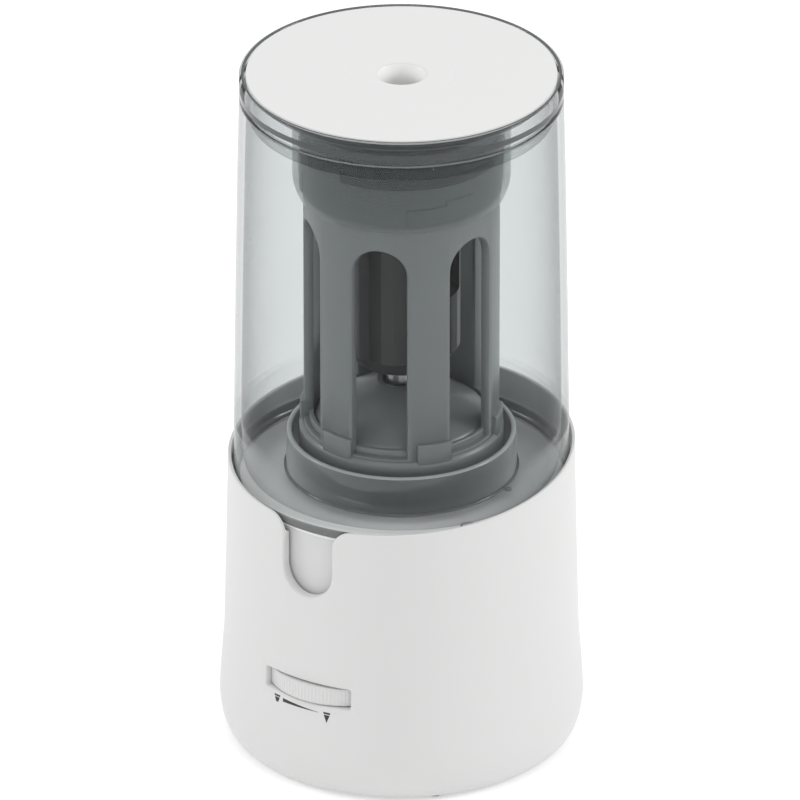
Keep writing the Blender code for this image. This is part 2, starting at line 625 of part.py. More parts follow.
def make_drive():
    """The motor under its plate, its pinion and the compound gear."""
    can = cylinder_mesh("motor", MOTOR_RADIUS, MOTOR_BOTTOM, MOTOR_TOP, sides=32)
    add("motor", can, "steel").location = (0.0, MOTOR_Y, 0.0)
    plate = [circle(1.9 * MM, (0.0, MOTOR_Y), 16), circle(2.0 * MM, (0.0, 0.0), 16),
             circle(COMPOUND_BORE, COMPOUND_AT[:2], 16)]
    rim = arc(11.0 * MM, (0.0, MOTOR_Y), 180.0, 360.0, 16)
    rim += arc(11.0 * MM, (0.0, 0.0), 0.0, 180.0, 16)
    add("gear_plate", flat_mesh("gear_plate", [rim] + plate, 51.4 * MM, 52.8 * MM), "nylon")
    axle = cylinder_mesh("gear_axle", 1.0 * MM, 51.4 * MM, 59.0 * MM, COMPOUND_AT[:2], 16)
    add("gear_axle", axle, "steel")
    for number, x in enumerate((-6.0 * MM, 6.0 * MM), 1):
        at = (x, MOTOR_Y)
        screw = cylinder_mesh("motor_screw_%d" % number, 1.4 * MM, 53.1 * MM, 53.7 * MM, at, 12)
        add("motor_screw_%d" % number, screw, "steel")

    shaft = [(0.0, 57.6), (0.9, 57.6), (0.9, 51.3), (0.0, 51.3)]
    add_turned("motor_shaft", shaft, "steel", 12, (0.0, MOTOR_Y))
    toward = math.atan2(COMPOUND_AT.y - MOTOR_Y, COMPOUND_AT.x)
    teeth = gear_outline(MOTOR_TEETH, FINE_MODULE)
    pinion_bore = circle(0.9 * MM + GAP, sides=12)
    pinion_mesh = flat_mesh("motor_pinion", [teeth, pinion_bore], 54.2 * MM, 56.4 * MM)
    pinion = add("motor_pinion", pinion_mesh, "brass")
    pinion.location = (0.0, MOTOR_Y, 0.0)
    pinion.rotation_euler.z = toward

    bore = circle(COMPOUND_BORE, sides=16)
    big = gear_outline(COMPOUND_BIG_TEETH, FINE_MODULE, 0.5)
    big_mesh = flat_mesh("compound_gear", [big, bore], 54.4 * MM, 56.1 * MM)
    compound = add("compound_gear", big_mesh, "nylon")
    compound.location = COMPOUND_AT
    compound.rotation_euler.z = toward + math.pi
    small = gear_outline(COMPOUND_SMALL_TEETH, COARSE_MODULE, 0.5)
    tool = add_cutter("compound_small", flat_mesh("compound_small", [small, bore], 55.5 * MM, 58.6 * MM))
    boolean(compound, tool, "UNION")
    tool.parent = compound
    inward = math.atan2(-COMPOUND_AT.y, -COMPOUND_AT.x)
    tool.rotation_euler.z = inward - compound.rotation_euler.z


def make_power():
    """The four cells, their contacts and the door they go in by."""
    low = CELL_BOTTOM / MM
    high = low + CELL_LENGTH / MM
    radius = CELL_RADIUS / MM
    cell = [(0.0, high + 1.0), (2.7, high + 1.0), (2.7, high), (radius - 0.4, high),
            (radius, high - 0.4), (radius, low + 0.4), (radius - 0.4, low), (0.0, low)]
    for number, degrees in enumerate(CELL_ANGLES, 1):
        add_turned("cell_%d" % number, cell, "cell", 16, polar(CELL_CIRCLE, degrees))
    bridges = {"top_bridge": ((58.0, 122.0), 57.0), "terminal_right": ((0.0, 10.0), 57.0),
               "terminal_left": ((170.0, 180.0), 57.0), "door_bridge_right": ((5.0, 58.0), 4.2),
               "door_bridge_left": ((122.0, 175.0), 4.2)}
    for name, ((start, end), height) in bridges.items():
        outer = arc(CELL_CIRCLE + CONTACT_HALF_WIDTH, (0.0, 0.0), start - 6.0, end + 6.0, 8)
        inner = arc(CELL_CIRCLE - CONTACT_HALF_WIDTH, (0.0, 0.0), end + 6.0, start - 6.0, 8)
        strip = flat_mesh(name, [outer + inner], height * MM, height * MM + CONTACT_THICKNESS)
        add(name, strip, "steel")
    door = [(0.0, 3.6), (32.0, 3.6), (32.0, 1.0), (0.0, 1.0)]
    add_turned("battery_door", door, "white")


def make_interlock():
    """The sprung pin that the seated bin holds down, and the switch under it."""
    pin = [(0.0, 60.7), (1.2, 60.7), (1.2, 57.0), (0.0, 57.0)]
    x, y = polar(INTERLOCK_CIRCLE, INTERLOCK_ANGLE)
    add_turned("interlock_pin", pin, "dark", 16, (x, y))
    switch = box_mesh("interlock_switch", (x - 3.0 * MM, y - 2.0 * MM, 52.0 * MM),
                      (x + 3.0 * MM, y + 2.0 * MM, 56.0 * MM))
    add("interlock_switch", switch, "dark")


make_shell()
make_drum()
make_chassis()
make_wheel()
make_stop()
make_bin()
make_lid()
make_cage()
make_carrier()
make_cutter()
make_drive()
make_power()
make_interlock()
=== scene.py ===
import json
import math

import bpy
from mathutils import Matrix, Vector


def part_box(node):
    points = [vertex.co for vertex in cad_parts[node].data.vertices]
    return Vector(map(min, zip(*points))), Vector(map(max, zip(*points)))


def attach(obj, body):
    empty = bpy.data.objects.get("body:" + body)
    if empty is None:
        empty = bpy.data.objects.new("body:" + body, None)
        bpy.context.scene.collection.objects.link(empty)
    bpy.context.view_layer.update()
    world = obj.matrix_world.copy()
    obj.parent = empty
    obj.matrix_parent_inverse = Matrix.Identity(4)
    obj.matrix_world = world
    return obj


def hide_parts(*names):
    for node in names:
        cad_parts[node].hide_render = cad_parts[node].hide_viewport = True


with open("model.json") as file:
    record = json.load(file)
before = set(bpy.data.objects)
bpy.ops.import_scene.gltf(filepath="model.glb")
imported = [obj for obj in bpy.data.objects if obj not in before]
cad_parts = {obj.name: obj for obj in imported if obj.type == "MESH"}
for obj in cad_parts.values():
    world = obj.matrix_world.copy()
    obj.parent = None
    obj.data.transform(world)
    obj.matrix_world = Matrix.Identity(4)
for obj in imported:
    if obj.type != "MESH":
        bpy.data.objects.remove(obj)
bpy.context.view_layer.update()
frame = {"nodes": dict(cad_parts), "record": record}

mm = 0.001
print("frame loaded:", len(frame["nodes"]), "nodes")


# camera, floor and light

studio = {
    "azimuth": 32.9, "elevation": 27.0, "distance": 3.0, "aim": 77.5 * mm,
    "lens": 632.0, "shiftX": -0.0019,
    "worldColor": (1.0, 1.0, 1.0), "worldStrength": 0.86,
    "floorColor": (0.80, 0.80, 0.80), "floorRoughness": 0.9, "floorGlow": 0.30, "floorSize": 6.0,
}
lamps = {
    # name: (azimuth, elevation, distance, size, watts)
    "softLeft": (-64.0, 30.0, 1.2, 0.35, 2.3),
    "softRight": (124.0, 28.0, 1.2, 0.35, 3.4),
    "softTop": (20.0, 82.0, 1.2, 0.5, 1.9),
    "glintLeft": (4.0, 50.0, 1.2, 0.07, 0.45),
    "glintRight": (62.0, 50.0, 1.2, 0.07, 0.45),
}


def onSphere(azimuth, elevation, distance):
    a, e = math.radians(azimuth), math.radians(elevation)
    direction = Vector((math.sin(a) * math.cos(e), -math.cos(a) * math.cos(e), math.sin(e)))
    return direction * distance


def lookAt(thing, spot):
    direction = thing.location - Vector(spot)
    thing.rotation_euler = direction.to_track_quat("Z", "Y").to_euler()


def makeStudio():
    scene = bpy.context.scene
    scene.view_settings.view_transform = "Standard"
    aim = (0.0, 0.0, studio["aim"])
    lens = bpy.data.cameras.new("studioCamera")
    lens.lens = studio["lens"]
    lens.shift_x = studio["shiftX"]
    lens.clip_end = 20.0
    camera = bpy.data.objects.new("studioCamera", lens)
    scene.collection.objects.link(camera)
    camera.location = onSphere(studio["azimuth"], studio["elevation"], studio["distance"])
    camera.location.z += studio["aim"]
    lookAt(camera, aim)
    scene.camera = camera

    world = bpy.data.worlds.new("studioWorld")
    scene.world = world
    world.use_nodes = True
    background = world.node_tree.nodes["Background"]
    background.inputs["Color"].default_value = (*studio["worldColor"], 1.0)
    background.inputs["Strength"].default_value = studio["worldStrength"]

    for name, (azimuth, elevation, distance, size, watts) in lamps.items():
        light = bpy.data.lights.new(name, "AREA")
        light.shape = "DISK"
        light.size = size
        light.energy = watts
        lamp = bpy.data.objects.new(name, light)
        scene.collection.objects.link(lamp)
        lamp.location = onSphere(azimuth, elevation, distance)
        lamp.location.z += studio["aim"]
        lookAt(lamp, aim)

    bpy.ops.mesh.primitive_plane_add(size=studio["floorSize"], location=(0.0, 0.0, 0.0))
    floor = bpy.context.active_object
    floor.name = "studioFloor"
    paint = Finish("floorPaint")
    paint.surface(paint.principled(
        color=studio["floorColor"], roughness=studio["floorRoughness"], specular=0.0,
        emission=studio["worldColor"], glow=studio["floorGlow"]))
    floor.data.materials.append(paint.material)


# shader maths

class Wire:
    # a socket that takes part in Python sums
    def __init__(self, finish, socket):
        self.finish = finish
        self.socket = socket

    def mathNode(self, operation, first, second):
        inputs = {0: first, 1: second}
        return self.finish.node("ShaderNodeMath", {"operation": operation}, inputs)

    def __add__(self, other):
        return self.mathNode("ADD", self, other)

    def __radd__(self, other):
        return self.mathNode("ADD", other, self)

    def __sub__(self, other):
        return self.mathNode("SUBTRACT", self, other)

    def __rsub__(self, other):
        return self.mathNode("SUBTRACT", other, self)

    def __mul__(self, other):
        return self.mathNode("MULTIPLY", self, other)

    def __rmul__(self, other):
        return self.mathNode("MULTIPLY", other, self)

    def __pow__(self, other):
        return self.mathNode("POWER", self, other)

    def __gt__(self, other):
        return self.mathNode("GREATER_THAN", self, other)

    def __lt__(self, other):
        return self.mathNode("LESS_THAN", self, other)


class Finish:
    # one material under construction
    def __init__(self, name):
        self.material = bpy.data.materials.new(name)
        self.material.use_nodes = True
        self.tree = self.material.node_tree
        self.tree.nodes.clear()
        self.out = self.tree.nodes.new("ShaderNodeOutputMaterial")

    def feed(self, socket, value):
        if isinstance(value, Wire):
            self.tree.links.new(value.socket, socket)
        elif socket.type == "RGBA":
            socket.default_value = (*value, 1.0) if len(value) == 3 else value
        else:
            socket.default_value = value

    def node(self, kind, settings=None, inputs=None, output=0):
        made = self.tree.nodes.new(kind)
        for key, value in (settings or {}).items():
            setattr(made, key, value)
        for key, value in (inputs or {}).items():
            self.feed(made.inputs[key], value)
        return Wire(self, made.outputs[output])

    def place(self, scale=(1.0, 1.0, 1.0)):
        inputs = {"Vector": self.node("ShaderNodeTexCoord", output="Object"), "Scale": scale}
        return self.node("ShaderNodeMapping", {}, inputs)

    def axes(self):
        # height and distance from the axis, in millimetres
        spot = self.place((1.0 / mm, 1.0 / mm, 1.0 / mm))
        height = self.node("ShaderNodeSeparateXYZ", {}, {0: spot}, "Z")
        flat = self.node("ShaderNodeVectorMath", {"operation": "MULTIPLY"},
                         {0: spot, 1: (1.0, 1.0, 0.0)})
        radius = self.node("ShaderNodeVectorMath", {"operation": "LENGTH"}, {0: flat}, "Value")
        return height, radius

    def noise(self, scale, detail=2.0, stretch=(1.0, 1.0, 1.0)):
        inputs = {"Vector": self.place(stretch), "Scale": scale, "Detail": detail}
        return self.node("ShaderNodeTexNoise", {}, inputs)

    def blend(self, factor, first, second):
        made = self.tree.nodes.new("ShaderNodeMix")
        made.data_type = "RGBA"
        self.feed(made.inputs[0], factor)
        self.feed(made.inputs[6], first)
        self.feed(made.inputs[7], second)
        return Wire(self, made.outputs[2])

    def bump(self, height, strength):
        inputs = {"Height": height, "Strength": strength, "Distance": bumpDepth}
        return self.node("ShaderNodeBump", {}, inputs)

    def principled(self, **values):
        made = self.tree.nodes.new("ShaderNodeBsdfPrincipled")
        for key, value in values.items():
            self.feed(made.inputs[socketNames[key]], value)
        return Wire(self, made.outputs[0])

    def surface(self, shader):
        self.tree.links.new(shader.socket, self.out.inputs["Surface"])
        return self.material


socketNames = {
    "color": "Base Color", "roughness": "Roughness", "metallic": "Metallic", "ior": "IOR",
    "normal": "Normal", "specular": "Specular IOR Level", "emission": "Emission Color",
    "glow": "Emission Strength",
}


# finishes

bumpDepth = 0.1 * mm
cloudScale = 22.0       # slow change of shade over a moulding
scuffScale = 160.0      # fine wear in the gloss
plastics = {
    # name: (color, darker color, roughness, grain bump strength, grain scale, index of refraction)
    "whiteShell": ((0.625, 0.625, 0.622), (0.600, 0.602, 0.600), 0.36, 0.06, 2600.0, 1.5),
    "whiteInner": ((0.66, 0.665, 0.66), (0.62, 0.625, 0.62), 0.42, 0.05, 2200.0, 1.5),
    "grayCage": ((0.180, 0.192, 0.190), (0.164, 0.176, 0.174), 0.34, 0.01, 900.0, 1.8),
    "darkRotor": ((0.046, 0.044, 0.044), (0.030, 0.029, 0.029), 0.38, 0.02, 1500.0, 1.5),
    "nylonGear": ((0.78, 0.76, 0.68), (0.72, 0.69, 0.60), 0.45, 0.05, 2000.0, 1.5),
    "blackRubber": ((0.035, 0.035, 0.035), (0.02, 0.02, 0.02), 0.75, 0.25, 1800.0, 1.5),
}


def plastic(name):
    color, darker, roughness, strength, scale, ior = plastics[name]
    paint = Finish(name)
    cloud = paint.noise(cloudScale, 3.0)
    grain = paint.noise(scale)
    scuff = paint.noise(scuffScale, 4.0, (1.0, 1.0, 0.35))
    shade = paint.blend(cloud, darker, color)
    gloss = roughness - 0.05 + 0.07 * cloud + 0.05 * scuff
    relief = paint.bump(grain, strength)
    return paint.surface(paint.principled(color=shade, roughness=gloss, normal=relief, ior=ior))


streakScale = 300.0
stainScale = 45.0
metalRelief = 0.12
metals = {
    # name: (color, duller color, roughness, scratch stretch)
    "plainSteel": ((0.62, 0.62, 0.63), (0.45, 0.45, 0.47), 0.28, (1.0, 1.0, 14.0)),
    "cutterSteel": ((0.42, 0.38, 0.34), (0.27, 0.20, 0.15), 0.33, (12.0, 12.0, 1.0)),
    "turnedBrass": ((0.78, 0.58, 0.27), (0.55, 0.38, 0.15), 0.30, (1.0, 1.0, 16.0)),
}


def metal(name):
    color, duller, roughness, stretch = metals[name]
    paint = Finish(name)
    streak = paint.noise(streakScale, 4.0, stretch)
    stain = paint.noise(stainScale, 3.0)
    shade = paint.blend(stain, duller, color)
    gloss = roughness - 0.08 + 0.20 * streak
    relief = paint.bump(streak, metalRelief)
    return paint.surface(paint.principled(color=shade, roughness=gloss, metallic=1.0,
                                          normal=relief))


smoke = {
    "passed": (0.945, 0.957, 0.959),      # what one face of a wall lets through
    "film": (0.022, 0.025, 0.025),        # the colour under the gloss
    "hazeAndLightColor": (0.430, 0.450, 0.446),    # and of the haziest places and of the painted highlights, painted reflection and painted light
    "hazeAndLightScale": 0.55, "hazeScale": 30.0, "ior": 1.65, "shadowEase": 0.92,
    "edgeGloss": 0.60, "edgePower": 4.0,
    "lowFrom": 63.0, "lowTo": 74.0, "lowPower": 2.4, "lowPaintedLight": 3.0, "untintedTo": 63.5,
}
binLook = {
    # heights and radii in millimetres, shares of the film, how milky it is, and the painted
    # highlight on the collar's rim
    "floorShare": 0.005, "wallFrom": 64.0, "wallShare": 0.085,
    "collarRadius": 25.2, "collarLow": 62.2, "collarHigh": 71.6,
    "collarShare": 0.93, "collarMilk": 0.42,
    "rimFrom": 70.85, "rimHighlightShare": 0.06, "rimPaintedHighlight": 1.4,
    "footRadius": 34.7, "footTo": 63.4, "footShare": 0.93, "footMilk": 0.25,
}
lidLook = {
    # heights and radii in millimetres and shares of the film, with the painted reflection on the
    # deck, the painted shade lines and the painted highlight line
    "share": 0.125, "deckFrom": 151.8, "deckRadius": 33.2, "deckReflectionShare": 0.55, "deckPaintedReflection": 1.4,
    "sleeveRadius": 24.0, "sleeveShare": 0.10, "sleeveMilk": 0.75,
    "thickLow": 150.9, "thickHigh": 152.2, "thinLow": 149.0, "thinHigh": 149.4, "shadeLineShare": 0.80,
    "topFrom": 154.75, "topRadius": 33.9, "paleHigh": 149.8, "paleHighlightShare": 0.18, "palePaintedHighlight": 1.8,
}


def between(value, low, high):
    return (value > low) * (value < high)


def smokyClear(name, zones):
    # a share of glossy film over plain passage: more in some zones, and at grazing angles; the
    # film's paleness holds haze and painted light
    paint = Finish(name)
    facing = paint.node("ShaderNodeLayerWeight", {}, {"Blend": 0.5}, "Facing")
    haze = paint.noise(smoke["hazeScale"], 2.0, (1.0, 1.0, 0.3))
    height, radius = paint.axes()
    share, hazeAndPaintedLight = zones(height, radius)
    low = between(height, smoke["lowFrom"], smoke["lowTo"])
    # painted light: the film turns pale at grazing angles low on the wall, standing in for light
    # carried along the thick plastic
    hazeAndPaintedLight = hazeAndPaintedLight + smoke["lowPaintedLight"] * facing ** 2 * low
    color = paint.blend(hazeAndPaintedLight * smoke["hazeAndLightScale"], smoke["film"], smoke["hazeAndLightColor"])
    film = paint.principled(color=color, roughness=0.02 + 0.04 * haze, ior=smoke["ior"])

    # light that falls through the walls isn't tinted, and nor is the bin's floor
    shadowRay = paint.node("ShaderNodeLightPath", output="Is Shadow Ray")
    seen = paint.node("ShaderNodeBsdfTransparent", {}, {"Color": smoke["passed"]})
    lit = paint.node("ShaderNodeBsdfTransparent", {}, {"Color": (1.0, 1.0, 1.0)})
    untinted = shadowRay + (height < smoke["untintedTo"])
    clear = paint.node("ShaderNodeMixShader", {}, {0: untinted, 1: seen, 2: lit})

    power = smoke["edgePower"] + (smoke["lowPower"] - smoke["edgePower"]) * low
    share = share + smoke["edgeGloss"] * facing ** power
    share = share * (1 - smoke["shadowEase"] * shadowRay)
    return paint.surface(paint.node("ShaderNodeMixShader", {}, {0: share, 1: clear, 2: film}))


def binZones(height, radius):
    look = binLook
    wall = height > look["wallFrom"]
    inCollar = between(height, look["collarLow"], look["collarHigh"])
    collar = (radius < look["collarRadius"]) * inCollar
    # painted highlight: a pale film on the top of the collar's rim, a bright line standing in for
    # the lamps' reflection
    rim = collar * (height > look["rimFrom"])
    foot = (radius > look["footRadius"]) * (height < look["footTo"])
    share = look["floorShare"] + look["wallShare"] * wall + look["collarShare"] * collar
    share = share + look["footShare"] * foot + look["rimHighlightShare"] * rim
    return share, look["collarMilk"] * collar + look["footMilk"] * foot + look["rimPaintedHighlight"] * rim


def lidZones(height, radius):
    look = lidLook
    # painted reflection: a mostly pale film on the deck under the disc stands in for what its
    # underside reflects
    deck = (height > look["deckFrom"]) * (radius < look["deckRadius"])
    sleeve = (radius < look["sleeveRadius"]) * (height < look["deckFrom"])
    outside = radius > look["deckRadius"]
    # painted shade: dark film lines round the rim, at the deck's underside, at the spigot's step
    # and under the disc's edge
    thick = between(height, look["thickLow"], look["thickHigh"])
    thin = between(height, look["thinLow"], look["thinHigh"])
    top = (height > look["topFrom"]) * (radius < look["topRadius"])
    # painted highlight: a thin pale line just above the spigot's step
    pale = outside * between(height, look["thinHigh"], look["paleHigh"])
    lines = outside * (thick + thin + top)
    share = look["share"] + look["deckReflectionShare"] * deck + look["shadeLineShare"] * lines
    share = share + look["sleeveShare"] * sleeve + look["paleHighlightShare"] * pale
    return share, look["deckPaintedReflection"] * deck + look["sleeveMilk"] * sleeve + look["palePaintedHighlight"] * pale


cellLook = {
    "jacket": (0.035, 0.04, 0.05), "band": (0.62, 0.42, 0.20), "bandFrom": 44.0,
    "metal": (0.6, 0.6, 0.6), "capFrom": 54.6, "baseTo": 6.1, "wearScale": 120.0,
}


def cellJacket(name):
    paint = Finish(name)
    height = paint.axes()[0]
    stripe = between(height, cellLook["bandFrom"], cellLook["capFrom"])
    metalEnd = (height > cellLook["capFrom"]) + (height < cellLook["baseTo"])
    wear = paint.noise(cellLook["wearScale"], 3.0)
    jacket = paint.blend(stripe, cellLook["jacket"], cellLook["band"])
    shade = paint.blend(metalEnd, jacket, cellLook["metal"])
    return paint.surface(paint.principled(color=shade, roughness=0.25 + 0.15 * wear,
                                          metallic=0.4 + 0.6 * metalEnd))


whites = {
    # name: (color, painted-light color, where the light is painted)
    # painted light: the drum's deck above 60.2 mm is painted far lighter than its sides
    "whiteDeck": ((0.58, 0.585, 0.58), (0.93, 0.935, 0.93), lambda height, radius: height > 60.2),
    # painted light: the shell's bore above 60 mm, in shade inside the rim, is painted far lighter
    "shellWhite": ((0.618, 0.619, 0.616), (0.95, 0.95, 0.95),
                   lambda height, radius: (radius < 36.7) * (height > 60.0)),
    # painted light: the bore of the disc's hole is painted lighter
    "discWhite": ((0.665, 0.665, 0.662), (0.80, 0.80, 0.79),
                  lambda height, radius: (radius < 5.2) * (height < 154.6)),
}
whiteGrain = {"scale": 2200.0, "strength": 0.05}


def zonedWhite(name):
    # a white with painted light in one place
    color, paintedLitColor, zone = whites[name]
    paint = Finish(name)
    cloud = paint.noise(cloudScale, 3.0)
    shade = paint.blend(zone(*paint.axes()), color, paintedLitColor)
    gloss = 0.38 + 0.08 * cloud
    relief = paint.bump(paint.noise(whiteGrain["scale"]), whiteGrain["strength"])
    return paint.surface(paint.principled(color=shade, roughness=gloss, normal=relief))


inkLook = {"dark": (0.018, 0.018, 0.019), "light": (0.032, 0.032, 0.033), "speckScale": 900.0}


def printedInk(name):
    paint = Finish(name)
    speck = paint.noise(inkLook["speckScale"])
    shade = paint.blend(speck, inkLook["dark"], inkLook["light"])
    return paint.surface(paint.principled(color=shade, roughness=0.45 + 0.1 * speck))


# modelling by hand

def deselectAll():
    if bpy.context.mode != "OBJECT":
        bpy.ops.object.mode_set(mode="OBJECT")
    bpy.ops.object.select_all(action="DESELECT")


def pick(piece):
    deselectAll()
    piece.select_set(True)
    bpy.context.view_layer.objects.active = piece


def settle(piece, name, smoothAngle=35.0):
    # names a piece, puts its place into its mesh and smooths it
    piece.name = name
    piece.data.name = name
    pick(piece)
    bpy.ops.object.transform_apply(location=True, rotation=True, scale=True)
    bpy.ops.object.shade_smooth_by_angle(angle=math.radians(smoothAngle))
    return piece


def applyModifier(piece, kind, **values):
    pick(piece)
    modifier = piece.modifiers.new(kind.lower(), kind)
    for key, value in values.items():
        setattr(modifier, key, value)
    bpy.ops.object.modifier_apply(modifier=modifier.name)


def cutWith(piece, tool, operation="DIFFERENCE"):
    applyModifier(piece, "BOOLEAN", object=tool, operation=operation, solver="EXACT")
    bpy.data.objects.remove(tool, do_unlink=True)


def softened(outline, amount, steps=4):
    # rounds each corner of a closed (radius, height, rounding) outline with a short curve
    made = []
    count = len(outline)
    for i, corner in enumerate(outline):
        here = Vector(corner[:2])
        before = Vector(outline[i - 1][:2]) - here
        after = Vector(outline[(i + 1) % count][:2]) - here
        wanted = corner[2] if len(corner) > 2 else amount
        reach = min(wanted, before.length * 0.49, after.length * 0.49)
        if reach < 0.01:
            made.append(here)
            continue
        start = here + before.normalized() * reach
        end = here + after.normalized() * reach
        for step in range(steps + 1):
            t = step / steps
            made.append(start * (1 - t) ** 2 + here * 2 * t * (1 - t) + end * t ** 2)
    return made


def turnRings(name, outline, sides, rounding=0.3, steps=4):
    # a turned piece: one ring, extruded and scaled along the outline, in millimetres
    points = softened(outline, rounding, steps)
    deselectAll()
    radius, height = points[0] * mm
    bpy.ops.mesh.primitive_circle_add(vertices=sides, radius=radius, location=(0.0, 0.0, 0.0))
    piece = bpy.context.active_object
    bpy.ops.object.mode_set(mode="EDIT")
    bpy.ops.mesh.select_all(action="SELECT")
    bpy.ops.transform.translate(value=(0.0, 0.0, height))
    for point in points[1:]:
        nextRadius, nextHeight = point * mm
        rise = {"value": (0.0, 0.0, nextHeight - height)}
        bpy.ops.mesh.extrude_edges_move(TRANSFORM_OT_translate=rise)
        scale = nextRadius / radius
        bpy.ops.transform.resize(value=(scale, scale, 1.0), center_override=(0.0, 0.0, nextHeight))
        radius, height = nextRadius, nextHeight
    bpy.ops.mesh.select_all(action="DESELECT")
    bpy.ops.mesh.select_mode(type="EDGE")
    bpy.ops.mesh.select_non_manifold()
    bpy.ops.mesh.bridge_edge_loops()
    bpy.ops.mesh.select_all(action="SELECT")
    bpy.ops.mesh.normals_make_consistent(inside=False)
    bpy.ops.object.mode_set(mode="OBJECT")
    return settle(piece, name)


def arcPoints(radius, centre, start, end, count):
    made = []
    for i in range(count + 1):
        angle = math.radians(start + (end - start) * i / count)
        made.append((centre[0] + radius * math.cos(angle), centre[1] + radius * math.sin(angle)))
    return made


def flatPlate(name, outlines, thickness, edge, edgeSteps):
    # a flat plate in XY with softened edges, from closed outlines in millimetres
    curve = bpy.data.curves.new(name, "CURVE")
    curve.dimensions = "2D"
    curve.fill_mode = "BOTH"
    curve.extrude = (thickness / 2 - edge) * mm
    curve.bevel_depth = edge * mm
    curve.bevel_resolution = edgeSteps
    curve.offset = -edge * mm
    for outline in outlines:
        spline = curve.splines.new("POLY")
        spline.points.add(len(outline) - 1)
        for point, (x, y) in zip(spline.points, outline):
            point.co = (x * mm, y * mm, 0.0, 1.0)
        spline.use_cyclic_u = True
    plate = bpy.data.objects.new(name, curve)
    bpy.context.scene.collection.objects.link(plate)
    pick(plate)
    bpy.ops.object.convert(target="MESH")
    plate = bpy.context.active_object
    bpy.ops.object.mode_set(mode="EDIT")
    bpy.ops.mesh.select_all(action="SELECT")
    bpy.ops.mesh.remove_doubles(threshold=0.000002)
    bpy.ops.mesh.normals_make_consistent(inside=False)
    bpy.ops.mesh.dissolve_limited(angle_limit=math.radians(0.5), delimit={"NORMAL"})
    bpy.ops.object.mode_set(mode="OBJECT")
    return plate


def cutAcross(plate, place, normal, trim=False):
    # one straight cut across the whole plate
    pick(plate)
    bpy.ops.object.mode_set(mode="EDIT")
    bpy.ops.mesh.select_all(action="SELECT")
    bpy.ops.mesh.bisect(plane_co=place, plane_no=normal, clear_outer=trim, threshold=0.0000005)
    bpy.ops.object.mode_set(mode="OBJECT")


def wrapRound(plate, girth, thickness, outer, bore, heights, every, closed=True):
    # bends a plate round the axis: x is the way round from the front, y height, z depth in the wall
    half = math.pi * girth
    if closed:
        cutAcross(plate, (half * mm, 0.0, 0.0), (1.0, 0.0, 0.0), True)
        cutAcross(plate, (-half * mm, 0.0, 0.0), (-1.0, 0.0, 0.0), True)
    for height in heights:
        cutAcross(plate, (0.0, height * mm, 0.0), (0.0, 1.0, 0.0))
    low = min(v.co.x for v in plate.data.vertices) / mm
    high = max(v.co.x for v in plate.data.vertices) / mm
    columns = int(360 / every)
    for column in range(1, columns):
        x = -half + 2 * half * column / columns
        if low + 0.02 < x < high - 0.02:
            cutAcross(plate, (x * mm, 0.0, 0.0), (1.0, 0.0, 0.0))
    for vertex in plate.data.vertices:
        x, y, z = vertex.co / mm
        depth = 0.5 - z / thickness
        radius = outer(y) - depth * (outer(y) - bore(y))
        angle = x / girth
        vertex.co = Vector((radius * math.sin(angle), -radius * math.cos(angle), y)) * mm
    pick(plate)
    bpy.ops.object.mode_set(mode="EDIT")
    bpy.ops.mesh.select_all(action="SELECT")
    bpy.ops.mesh.remove_doubles(threshold=0.000005)
    bpy.ops.mesh.normals_make_consistent(inside=False)
    bpy.ops.object.mode_set(mode="OBJECT")
    return plate


def moved(outline, x, y):
    return [(pointX + x, pointY + y) for pointX, pointY in outline]


def alongProfile(profile):
    # a radius read from (height, radius) points joined by straight stretches
    def radiusAt(height):
        for (lowZ, lowR), (highZ, highR) in zip(profile, profile[1:]):
            if height <= highZ:
                t = max(0.0, (height - lowZ) / (highZ - lowZ))
                return lowR + (highR - lowR) * t
        return profile[-1][1]
    return radiusAt


def joinPieces(name, pieces):
    pick(pieces[0])
    for piece in pieces[1:]:
        piece.select_set(True)
    bpy.ops.object.join()
    return settle(bpy.context.active_object, name)


def dress(piece, material, body, slotName, *replaced):
    piece.data.materials.clear()
    piece.data.materials.append(material)
    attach(piece, body)
    if replaced:
        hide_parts(*replaced)
    return piece


# the base

shell = {
    "footRadius": 35.7, "footZ": 0.5, "widest": 39.2, "widestZ": 9.0,
    "side": [(14.0, 38.95), (24.0, 38.2), (42.0, 37.7), (62.0, 37.25), (72.0, 37.2)],
    "bore": [(0.5, 32.3), (3.0, 32.3), (3.2, 35.2), (59.4, 35.2), (60.2, 36.4), (75.0, 36.4)],
    "girth": 37.5, "thickness": 1.0, "edge": 0.40, "footSteps": 8, "edgeSteps": 60, "every": 2.5,
    "edgeZ": 67.0, "edgeFall": 3.4, "overlap": 1.5,
    "notchHalf": 6.1, "notchBottom": 46.6, "shoulder": 4.6,
    "slotHalf": 10.6, "slotLow": 21.9, "slotHigh": 26.5, "slotRounding": 0.5,
    "levels": [1.0, 1.5, 2.1, 2.8, 3.0, 3.2, 3.9, 4.8, 5.8, 6.9, 8.0, 9.0, 11.5, 14.0, 18.0, 24.0,
               30.0, 36.0, 42.0, 50.0, 59.4, 59.8, 60.2, 62.0],
}


def shellRadius():
    # the outside: a quarter round at the foot, then the side
    count = shell["footSteps"]
    rise = shell["widestZ"] - shell["footZ"]
    reach = shell["widest"] - shell["footRadius"]
    profile = []
    for i in range(count + 1):
        angle = math.radians(90.0 * i / count)
        profile.append((shell["widestZ"] - rise * math.cos(angle),
                        shell["footRadius"] + reach * math.sin(angle)))
    return alongProfile(profile + shell["side"])


def slantAt(x):
    # the height of the slanted top edge, x round from the front
    return shell["edgeZ"] - shell["edgeFall"] * math.cos(x / shell["girth"])


